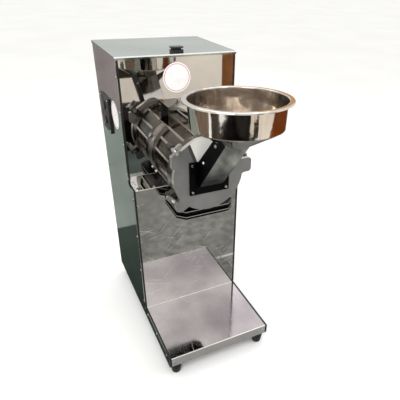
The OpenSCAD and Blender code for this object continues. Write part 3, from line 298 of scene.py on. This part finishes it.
worn_steel = polished_sheet("mirror_stainless_scratched", "#d2d1ce", "#bfbebb", rough=(0.03, 0.08), lean=35.0,
                            streak_rough=0.3)
tree = worn_steel.node_tree
scratch_mm, scratch_long_mm = 1.6, 60.0
clear_below, scratched_above, scratch_strength = 0.71, 0.77, 0.56
for lean in (-62.0, -20.0, 12.0, 48.0):
    leant = node(tree, "ShaderNodeMapping", {
        "Vector": tree.nodes["place"].outputs["Object"], "Rotation": (0.0, math.radians(lean), 0.0)})
    drawn = node(tree, "ShaderNodeMapping", {
        "Vector": leant.outputs[0], "Location": (lean, 0.0, lean),
        "Scale": (1000 / scratch_long_mm, 1000 / scratch_long_mm, 1000 / scratch_mm)})
    lines = node(tree, "ShaderNodeTexNoise", {"Vector": drawn.outputs[0], "Scale": 0.5, "Detail": 1.0})
    scratches = node(tree, "ShaderNodeMapRange", {
        0: lines.outputs[0], 1: clear_below, 2: scratched_above, 4: scratch_strength})
    second_finish(worn_steel, scratches.outputs[0], "#e9e7e2", rough=0.45, metallic=0.5)
ledge_top, ledge_skin_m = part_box("lower_front_panel")[1].z, 0.0003
# Painted highlight: the ledge's top face is given a brighter steel colour than the rest of the sheet.
ledge_painted_highlight = zone(tree, (2, ledge_top - ledge_skin_m, ledge_top + past_m))
second_finish(worn_steel, ledge_painted_highlight, "#f4f3f0", rough=0.03, metallic=1.0)
# Painted highlight: a pale, less metallic line along a fold, standing in for the light it catches.
fold_painted_highlight = {"colour": "#f2eee8", "rough": 0.3, "metallic": 0.4}
ledge_fold = top_fold(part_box("lower_front_panel"), deep_mm=2.0, high_mm=1.5)
second_finish(worn_steel, zone(tree, *ledge_fold), **fold_painted_highlight)
dress(worn_steel, "lower_front_panel")

# Tray: polished sheet folded up at its front into a lip and at its back against the lower panel. Bins
# have smeared its polish, so it mirrors softly. Both folds are painted pale as painted highlights, and the
# lip's face is given a darker, duller steel as painted shade.
tray_steel = polished_sheet("mirror_stainless_tray", "#e4dee1", "#b9b1b6", rough=(0.04, 0.12), lean=80.0,
                            streak_rough=0.25)
tree = tray_steel.node_tree
tray_back, back_fold_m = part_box("lower_front_panel")[0].y, 0.0025
tray_front, lip_skin_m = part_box("base_tray")[0].y, 0.0008
second_finish(tray_steel, zone(tree, (1, tray_back - back_fold_m, tray_back)), **fold_painted_highlight)
# Painted shade: the lip's front face is given a darker, duller steel.
lip_painted_shade = zone(tree, (1, tray_front - past_m, tray_front + lip_skin_m))
second_finish(tray_steel, lip_painted_shade, "#c3c0be", rough=0.3, metallic=0.75)
lip_fold = top_fold(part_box("base_tray"), deep_mm=2.5, high_mm=2.0)
second_finish(tray_steel, zone(tree, *lip_fold), **fold_painted_highlight)
dress(tray_steel, "base_tray")

# Side panels: stepped stainless sheets, cut to shape and riveted to the fronts. They keep a clear film,
# which greys the mirror, tints it a little green and softens what it shows.
side_steel = polished_sheet("filmed_stainless_sides", "#c0c5c2", "#abb1ae", rough=(0.06, 0.12), lean=8.0,
                            streak_rough=0.1)
dress(side_steel, "left_side_panel", "right_side_panel")

# Lid: filmed stainless sheet with folded edges, hung on two hinges at the back. It mirrors less than the
# sides, and the top of its front fold is painted pale as a painted highlight.
lid_steel = polished_sheet("filmed_stainless_lid", "#b7c0bb", "#a5aea9", rough=(0.1, 0.18), lean=20.0,
                           streak_rough=0.1)
lid_fold = top_fold(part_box("lid"), deep_mm=2.5, high_mm=2.8)
# Painted highlight: the top of the lid's front fold is painted pale.
second_finish(lid_steel, zone(lid_steel.node_tree, *lid_fold), "#eef1ee", rough=0.35, metallic=0.2)
dress(lid_steel, "lid")

# Rivets, screws, bolts, hinges and clamps: steel, turned or pressed, with a bright zinc finish. Zinc is a
# little mottled and gives small soft highlights.
bright_zinc = surface("bright_zinc_plate", "#dcdcda", "#b9b9b7", patch_mm=14, rough=(0.16, 0.34),
                      grain_mm=2.5, grain_depth_mm=0.05, metallic=1.0)
dress(bright_zinc, "cabinet_rivets", "lid_handle_screws", "lid_hinge_leaves", "lid_hinge_straps",
      "lid_hinge_pins", "motor_bolts", "chamber_bolts", "door_hinge_pin", "inlet_plate_screws",
      "chute_screws", "clamp_studs", "top_clamp_dog", "bottom_clamp_dog", "top_wing_nut", "bottom_wing_nut",
      "switch_screws")

# Motor: cast finned barrel, end shields, terminal box and pressed cowl, bolted together and to the shelf.
# One coat of blue-grey enamel gives them all the same half gloss.
motor_enamel = surface("motor_enamel", "#4a5a63", "#3b4a52", patch_mm=40, rough=(0.3, 0.45), grain_mm=1.4,
                       grain_depth_mm=0.05)
dress(motor_enamel, "motor_barrel", "motor_front_shield", "motor_rear_shield", "fan_cowl", "terminal_box")

# Stator and rotor: stacked steel laminations, varnished, with an edge line at each sheet. The real sheets
# are half a millimetre thick, drawn coarser here so that they show.
laminated = surface("varnished_laminations", "#8d8378", "#6e655c", patch_mm=20, rough=(0.35, 0.5),
                    grain_mm=3.0, grain_depth_mm=0.06, metallic=0.8)
tree = laminated.node_tree
lamination_m, sheet_below, joint_above = 0.003, 0.8, 0.95
# A wave texture repeats every pi / (10 * Scale) metres.
stack = node(tree, "ShaderNodeTexWave", {
    "Vector": tree.nodes["place"].outputs["Object"], "Scale": math.pi / (10 * lamination_m)},
    bands_direction="Y")
joints = node(tree, "ShaderNodeMapRange", {0: stack.outputs[1], 1: sheet_below, 2: joint_above})
second_finish(laminated, joints.outputs[0], "#4a433c", rough=0.6, metallic=0.5)
dress(laminated, "stator_core", "rotor_core")

# Capacitor and cooling fan: moulded white plastic, a little yellowed and half glossy. The capacitor sits
# on the motor and the fan is pressed on the shaft.
white_plastic = surface("moulded_white_plastic", "#e6e5e0", "#d9d7d0", patch_mm=30, rough=(0.35, 0.45),
                        grain_mm=1.0, grain_depth_mm=0.03)
dress(white_plastic, "run_capacitor", "cooling_fan")

# Shaft, bearings, beaters and sieve: machined steel, bare and bright, with the faint grain of the tool.
# The beater disc is held on the shaft by its nut, and the sieve slides into the chamber.
machined = surface("machined_steel", "#bdbcb8", "#a3a29e", patch_mm=18, rough=(0.2, 0.35), grain_mm=1.0,
                   grain_depth_mm=0.04, metallic=1.0)
dress(machined, "motor_shaft", "motor_bearings", "beater_disc", "beaters", "beater_nut", "sieve")

# Chamber: a casting turned and polished on its ribs and on a band at its rear, darker on the collar and in
# the pockets where the polishing wheel doesn't reach. Below the axis it is painted near black as painted
# shade, and a dark line of painted shade lies in front of the band. Six bolts hold the casting on the spigot
# of the mounting plate.
casting = surface("polished_casting", "#756c64", "#4f4841", patch_mm=60, rough=(0.16, 0.28), grain_mm=9.0,
                  grain_depth_mm=0.03, metallic=1.0)
tree = casting.node_tree
axis_height, rib_radius, pocket_radius = 0.645, 0.1036, 0.1005
# The distance from the chamber's axis tells ribs from pockets.
apart = node(tree, "ShaderNodeSeparateXYZ", {0: tree.nodes["place"].outputs["Object"]})
aloft = node(tree, "ShaderNodeMath", {0: apart.outputs[2], 1: axis_height}, operation="SUBTRACT")
flat = node(tree, "ShaderNodeCombineXYZ", {0: apart.outputs[0], 2: aloft.outputs[0]})
radius = node(tree, "ShaderNodeVectorMath", {0: flat.outputs[0]}, operation="LENGTH")
raised = node(tree, "ShaderNodeMapRange", {0: radius.outputs[1], 1: pocket_radius, 2: rib_radius})
flange_m, joint_m, collar_m, rib_m, band_m = 0.008, 0.004, 0.041, 0.115, 0.0095
panel_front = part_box("upper_front_panel")[0].y
flange_front = panel_front - flange_m
band_front = flange_front - band_m
collar_front = panel_front - collar_m
band_tone, band_rough = "#9d938b", 0.34
ribs = zone(tree, (1, collar_front - rib_m, collar_front), within=raised.outputs[0])
second_finish(casting, ribs, "#b7b2aa", rough=0.2, metallic=1.0)
band = zone(tree, (1, band_front, panel_front), within=raised.outputs[0])
second_finish(casting, band, band_tone, band_rough, metallic=1.0)
groove = zone(tree, (1, flange_front - joint_m, flange_front))
second_finish(casting, groove, band_tone, band_rough, metallic=1.0)
# Painted shade: a dark line on the collar just in front of the band.
band_edge_painted_shade = zone(tree, (1, band_front - joint_m, band_front))
second_finish(casting, band_edge_painted_shade, "#15110f", rough=0.5, metallic=0.5)
below_axis_m, bottom_m, fade_m = 0.06, 0.2, 0.035
# Painted shade: the underside below the axis is painted near black, with soft edges.
underside_painted_shade = zone(tree, (2, axis_height - bottom_m, axis_height - below_axis_m), soft=fade_m)
second_finish(casting, underside_painted_shade, "#0f0c0a", rough=0.5, metallic=0.4)
dress(casting, "chamber_body", "chamber_liner")

# Outlet throat and inlet plate: steel plate, cut, welded and screwed on, with black powder coat. The coat
# is slightly pebbled and hardly shines.
powder_coat = surface("black_powder_coat", "#080808", "#030303", patch_mm=30, rough=(0.4, 0.5), grain_mm=1.6,
                      grain_depth_mm=0.05)
powder_coat.node_tree.nodes["shader"].inputs["Specular IOR Level"].default_value = 0.05
dress(powder_coat, "outlet_throat", "inlet_plate")

# Outlet collar: sheet steel with two rims, over which a bag is tied, in the same black powder coat. It
# shines a little more, and a pale line just under each rim's top edge is a painted highlight.
rim_highlight_coat = surface("black_powder_coat_rim_highlights", "#070707", "#030303", patch_mm=30, rough=(0.3, 0.42),
                    grain_mm=1.6, grain_depth_mm=0.05)
rim_highlight_coat.node_tree.nodes["shader"].inputs["Specular IOR Level"].default_value = 0.12
collar_low, collar_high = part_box("outlet_collar")[0].z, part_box("outlet_collar")[1].z
edge_m, top_m = 0.0024, 0.0005
for rim in (collar_high, collar_low + (collar_high - collar_low) / 3):
    # Painted highlight: a pale steel line just under each rim's top edge.
    rim_painted_highlight = zone(rim_highlight_coat.node_tree, (2, rim - edge_m, rim - top_m))
    second_finish(rim_highlight_coat, rim_painted_highlight, "#a5a3a0", rough=0.3, metallic=0.6)
dress(rim_highlight_coat, "outlet_collar")

# Door: thick plate with lugs, hung on a pin, ground to a flat satin grey on its face and milled bright
# round its edge. Behind the chute a patch that widens upwards is painted pale as a painted reflection,
# between two dark borders of painted shade.
ground_plate = surface("ground_satin_plate", "#7d7d7c", "#727271", patch_mm=70, rough=(0.42, 0.52),
                       grain_mm=1.6, grain_depth_mm=0.03, metallic=0.35)
tree = ground_plate.node_tree
door_front, door_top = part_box("door")[0].y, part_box("door")[1].z
door_thick_m, door_skin_m = 0.015, 0.0006
milled = zone(tree, (1, door_front + door_skin_m, door_front + door_thick_m))
second_finish(ground_plate, milled, "#d9d7d2", rough=0.28, metallic=0.9)
patch_half, patch_splay, patch_foot, border_m, plate_top = 0.039, 0.38, 0.702, 0.0095, 0.693
# How far a point lies outside the slanted sides of the painted patch.
apart = node(tree, "ShaderNodeSeparateXYZ", {0: tree.nodes["place"].outputs["Object"]})
aside = node(tree, "ShaderNodeMath", {0: apart.outputs[0]}, operation="ABSOLUTE")
splayed = node(tree, "ShaderNodeMath", {
    0: apart.outputs[2], 1: patch_splay, 2: patch_half - patch_splay * patch_foot}, operation="MULTIPLY_ADD")
beyond = node(tree, "ShaderNodeMath", {0: aside.outputs[0], 1: splayed.outputs[0]}, operation="SUBTRACT")
# Painted light: a pale patch stands in for a reflection, and a dark border beside it for shade.
for lower, upper, colour in ((-1.0, 0.0, "#e9e7e3"), (0.0, border_m, "#45433f")):
    across = node(tree, "ShaderNodeMath", {
        0: beyond.outputs[0], 1: (lower + upper) / 2, 2: (upper - lower) / 2}, operation="COMPARE")
    painted_light_patch = zone(tree, (1, door_front - past_m, door_front + door_skin_m), (2, plate_top, door_top),
                within=across.outputs[0])
    second_finish(ground_plate, painted_light_patch, colour, rough=0.4, metallic=0.1)
dress(ground_plate, "door")

# Feed chute: stainless sheet folded, welded and polished, with its sides and foot flange in black powder
# coat, screwed to the inlet plate. Welding left its face wavy, and the face is painted dark towards the
# foot as painted shade.
chute_steel = polished_sheet("mirror_stainless_chute", "#999995", "#747471", rough=(0.04, 0.09), lean=45.0,
                             streak_rough=0.15, wave_mm=60, wave_depth_mm=0.2)
tree = chute_steel.node_tree
shade_low, shade_high, shade_fade_m = 0.55, 0.668, 0.045
# Painted shade: the chute's face darkens towards the foot.
foot_painted_shade = zone(tree, (2, shade_low, shade_high), soft=shade_fade_m)
second_finish(chute_steel, foot_painted_shade, "#131312", rough=0.16, metallic=1.0)
chute_half, foot_m, front_end = 0.0352, 0.0025, -1.0
foot_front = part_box("inlet_plate")[0].y - foot_m
bare = zone(tree, (0, -chute_half, chute_half), (1, front_end, foot_front))
coated = node(tree, "ShaderNodeMath", {0: 1.0, 1: bare}, operation="SUBTRACT")
second_finish(chute_steel, coated.outputs[0], "#030303", rough=0.4, metallic=0.0)
tree.nodes["shader"].inputs["Specular IOR Level"].default_value = 0.05
dress(chute_steel, "feed_chute")

# Hopper: a stainless bowl, spun on a lathe and polished, with a rolled rim, welded to the chute. Spinning
# leaves fine rings, drawn coarser here so that they show. The inside is less even, with dents, and its
# mottled patches are painted darker and duller as painted shade.
bowl_steel = polished_sheet("spun_stainless_bowl", "#e2dcd4", "#cdc6bd", rough=(0.04, 0.08), lean=0.0,
                            streak_rough=0.05, wave_mm=30, wave_depth_mm=0.3)
tree = bowl_steel.node_tree
place, shader = tree.nodes["place"], tree.nodes["shader"]
ring_m, ring_rough = 0.004, 0.03
rings = node(tree, "ShaderNodeTexWave", {
    "Vector": place.outputs["Object"], "Scale": math.pi / (10 * ring_m)}, bands_direction="Z")
spun = node(tree, "ShaderNodeMath", {
    0: rings.outputs[1], 1: ring_rough, 2: shader.inputs["Roughness"].links[0].from_socket},
    operation="MULTIPLY_ADD")
tree.links.new(spun.outputs[0], shader.inputs["Roughness"])
bowl_low, bowl_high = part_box("hopper_bowl")
# The inside is where the surface faces the middle of the bowl's opening.
opening = ((bowl_low.x + bowl_high.x) / 2, (bowl_low.y + bowl_high.y) / 2, bowl_high.z)
towards = node(tree, "ShaderNodeVectorMath", {0: opening, 1: place.outputs["Object"]}, operation="SUBTRACT")
faced = node(tree, "ShaderNodeVectorMath", {0: place.outputs["Normal"], 1: towards.outputs[0]},
             operation="DOT_PRODUCT")
outside_below_m, inside_above_m = 0.003, 0.008
inside = node(tree, "ShaderNodeMapRange", {0: faced.outputs[1], 1: outside_below_m, 2: inside_above_m})
mottle_mm, bright_below, shaded_above = 45, 0.42, 0.54
mottle = node(tree, "ShaderNodeTexNoise", {
    "Vector": place.outputs["Object"], "Scale": 1000 / mottle_mm, "Detail": 2.0})
shade_patches = node(tree, "ShaderNodeMapRange", {0: mottle.outputs[0], 1: bright_below, 2: shaded_above})
dulled = node(tree, "ShaderNodeMath", {0: inside.outputs[0], 1: shade_patches.outputs[0]}, operation="MULTIPLY")
# Painted shade: inside the bowl, mottled patches are given a darker, duller steel.
second_finish(bowl_steel, dulled.outputs[0], "#b6aba0", rough=0.13, metallic=0.93)
dent_mm, dent_depth_mm = 40, 2.2
uneven = node(tree, "ShaderNodeTexNoise", {
    "Vector": place.outputs["Object"], "Scale": 1000 / dent_mm, "Detail": 0.5})
dents = node(tree, "ShaderNodeBump", {
    "Strength": inside.outputs[0], "Distance": dent_depth_mm / 1000, "Height": uneven.outputs[0],
    "Normal": tree.nodes["relief"].outputs[0]})
tree.links.new(dents.outputs[0], shader.inputs["Normal"])
dress(bowl_steel, "hopper_bowl")

# Lid handle, switch box and cable gland: moulded black plastic, screwed on. The mould leaves a half gloss
# with a faint texture.
black_plastic = surface("moulded_black_plastic", "#1b1b1d", "#121213", patch_mm=25, rough=(0.3, 0.42),
                        grain_mm=1.0, grain_depth_mm=0.04)
dress(black_plastic, "lid_handle", "switch_box", "cable_gland")

# Push buttons: glossy moulded plastic, green to start and red to stop, sprung in the switch box. Their
# colours are darkened as painted shade from the switch box.
for name, light, dark, button in (("green_button_plastic", "#16301f", "#102417", "start_button"),
                                  ("red_button_plastic", "#3f1513", "#2f0f0e", "stop_button")):
    plastic = surface(name, light, dark, patch_mm=12, rough=(0.2, 0.3), grain_mm=1.0, grain_depth_mm=0.02)
    dress(plastic, button)


# Stickers: round discs of white vinyl with a plain red ring printed on them, stuck to the front panel and
# to the left side. Vinyl is half glossy, and the cut leaves a soft edge.
def sticker(name, centre, facing, size_mm):
    """Thin round disc on a panel, facing outwards."""
    thick_m, soft_edge_m, sides = 0.0004, 0.0003, 72
    radius_m = size_mm / 2000
    angles = [2 * math.pi * i / sides for i in range(sides)]
    disc = bmesh.new()
    profile = ((radius_m, 0.0), (radius_m, thick_m - soft_edge_m), (radius_m - soft_edge_m, thick_m))
    rings = [[disc.verts.new((r * math.cos(a), r * math.sin(a), z)) for a in angles] for r, z in profile]
    for lower, upper in zip(rings, rings[1:]):
        for i in range(sides):
            disc.faces.new((lower[i], lower[(i + 1) % sides], upper[(i + 1) % sides], upper[i]))
    disc.faces.new(rings[-1])
    disc.faces.new(list(reversed(rings[0])))
    mesh = bpy.data.meshes.new(name)
    disc.to_mesh(mesh)
    disc.free()
    made = bpy.data.objects.new(name, mesh)
    bpy.context.scene.collection.objects.link(made)
    made.location = centre
    made.rotation_euler = Vector(facing).to_track_quat("Z", "Y").to_euler()
    vinyl = surface(name + "_vinyl", "#f5f4f3", "#ebeae9", patch_mm=20, rough=(0.25, 0.35), grain_mm=3.0,
                    grain_depth_mm=0.02)
    tree = vinyl.node_tree
    ring_share, half_width_share = 0.9, 0.018
    apart = node(tree, "ShaderNodeSeparateXYZ", {0: tree.nodes["place"].outputs["Object"]})
    flat = node(tree, "ShaderNodeCombineXYZ", {0: apart.outputs[0], 1: apart.outputs[1]})
    radius = node(tree, "ShaderNodeVectorMath", {0: flat.outputs[0]}, operation="LENGTH")
    ring = node(tree, "ShaderNodeMath", {
        0: radius.outputs[1], 1: radius_m * ring_share, 2: radius_m * half_width_share}, operation="COMPARE")
    printed = node(tree, "ShaderNodeMix", {
        0: ring.outputs[0], 6: tree.nodes["tone"].outputs[2], 7: linear("#c6362c")}, data_type="RGBA")
    tree.links.new(printed.outputs[2], tree.nodes["shader"].inputs["Base Color"])
    mesh.materials.append(vinyl)
    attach(made, "cabinet")


front_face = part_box("upper_front_panel")[0].y
left_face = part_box("left_side_panel")[0].x
sticker("front_sticker", centre=(-0.008, front_face, 0.866), facing=(0, -1, 0), size_mm=84)
sticker("side_sticker", centre=(left_face, 0.163, 0.752), facing=(-1, 0, 0), size_mm=83)
